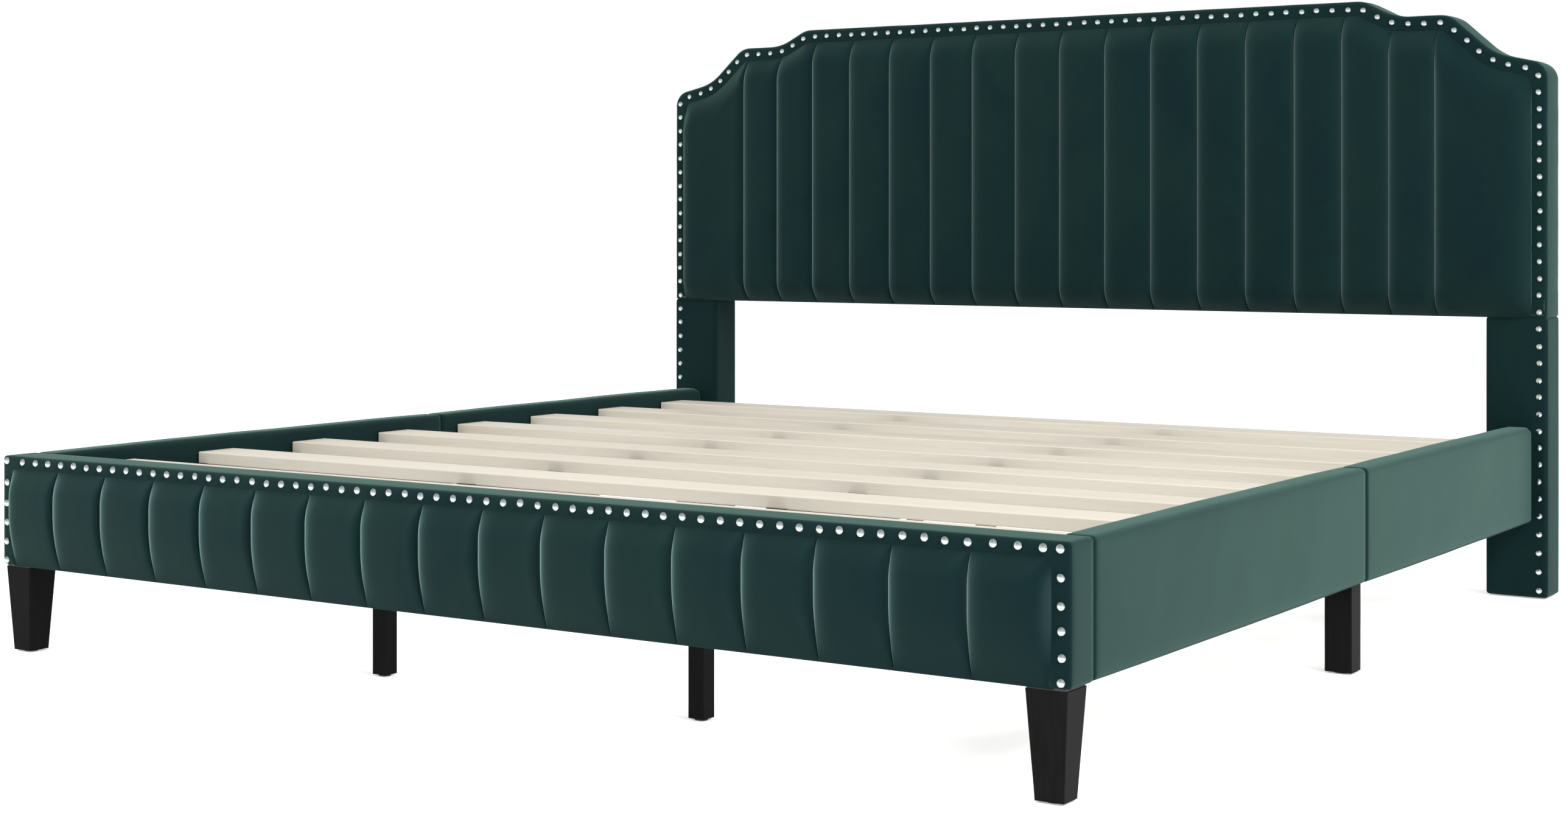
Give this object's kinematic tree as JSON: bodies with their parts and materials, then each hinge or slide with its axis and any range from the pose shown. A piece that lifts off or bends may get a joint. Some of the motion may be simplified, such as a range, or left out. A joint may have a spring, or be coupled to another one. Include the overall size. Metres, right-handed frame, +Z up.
{
  "type": "upholstered bed frame",
  "caption": "King-size platform bed in dark green velvet with a shaped, channelled and nail-trimmed headboard, a low channelled footboard, side rails, pine slats and black legs.",
  "frame": {"origin": "on the floor at the middle of the bed's bounding box", "axes": "+X across the bed, to the right of someone standing at the foot and looking at the headboard; +Y from the foot to the head; +Z up"},
  "size_m": [2.088, 2.22, 1.2],
  "materials": {
    "velvet": "short-pile velvet with a pale sheen at grazing angles",
    "back_cloth": "thin non-woven backing cloth",
    "nail_heads": "polished nickel",
    "plywood": "raw plywood",
    "timber": "raw sawn timber",
    "pine": "planed pale pine, unvarnished",
    "black_wood": "black satin lacquer",
    "black_steel": "black powder coat",
    "zinc": "bright zinc plate",
    "glide": "black plastic"
  },
  "bodies": {
    "root": {"beam_hangers": "black_steel", "centre_beam_left": "black_wood", "centre_beam_right": "black_wood", "centre_legs_left": "black_wood", "centre_legs_right": "black_wood", "corner_bolts": "zinc", "corner_brackets_foot": "black_steel", "corner_brackets_head": "black_steel", "floor_glides": "glide", "foot_leg_hanger_bolts": "zinc", "foot_leg_left": "black_wood", "foot_leg_right": "black_wood", "footboard_board": "plywood", "footboard_frame": "timber", "footboard_lining": "velvet", "footboard_nails": "nail_heads", "footboard_pad": "velvet", "footboard_wrap": "velvet", "head_cross_rail": "timber", "headboard_back_cloth": "back_cloth", "headboard_board": "plywood", "headboard_frame": "timber", "headboard_nails": "nail_heads", "headboard_pad": "velvet", "headboard_wrap": "velvet", "leg_plates": "black_steel", "post_core_left": "timber", "post_core_right": "timber", "post_cover_left": "velvet", "post_cover_right": "velvet", "post_joining_bolts": "zinc", "post_joining_plates": "black_steel", "post_nails_left": "nail_heads", "post_nails_right": "nail_heads", "rail_board_left_foot": "timber", "rail_board_left_head": "timber", "rail_board_right_foot": "timber", "rail_board_right_head": "timber", "rail_cover_left_foot": "velvet", "rail_cover_left_head": "velvet", "rail_cover_right_foot": "velvet", "rail_cover_right_head": "velvet", "rail_joining_bolts": "zinc", "rail_joining_plates": "black_steel", "rail_leg_left": "black_wood", "rail_leg_right": "black_wood", "slat_1": "pine", "slat_2": "pine", "slat_3": "pine", "slat_4": "pine", "slat_5": "pine", "slat_6": "pine", "slat_7": "pine", "slat_8": "pine", "slat_ledge_left_foot": "black_wood", "slat_ledge_left_head": "black_wood", "slat_ledge_right_foot": "black_wood", "slat_ledge_right_head": "black_wood", "slat_screws": "zinc"}
  },
  "joints": []
}
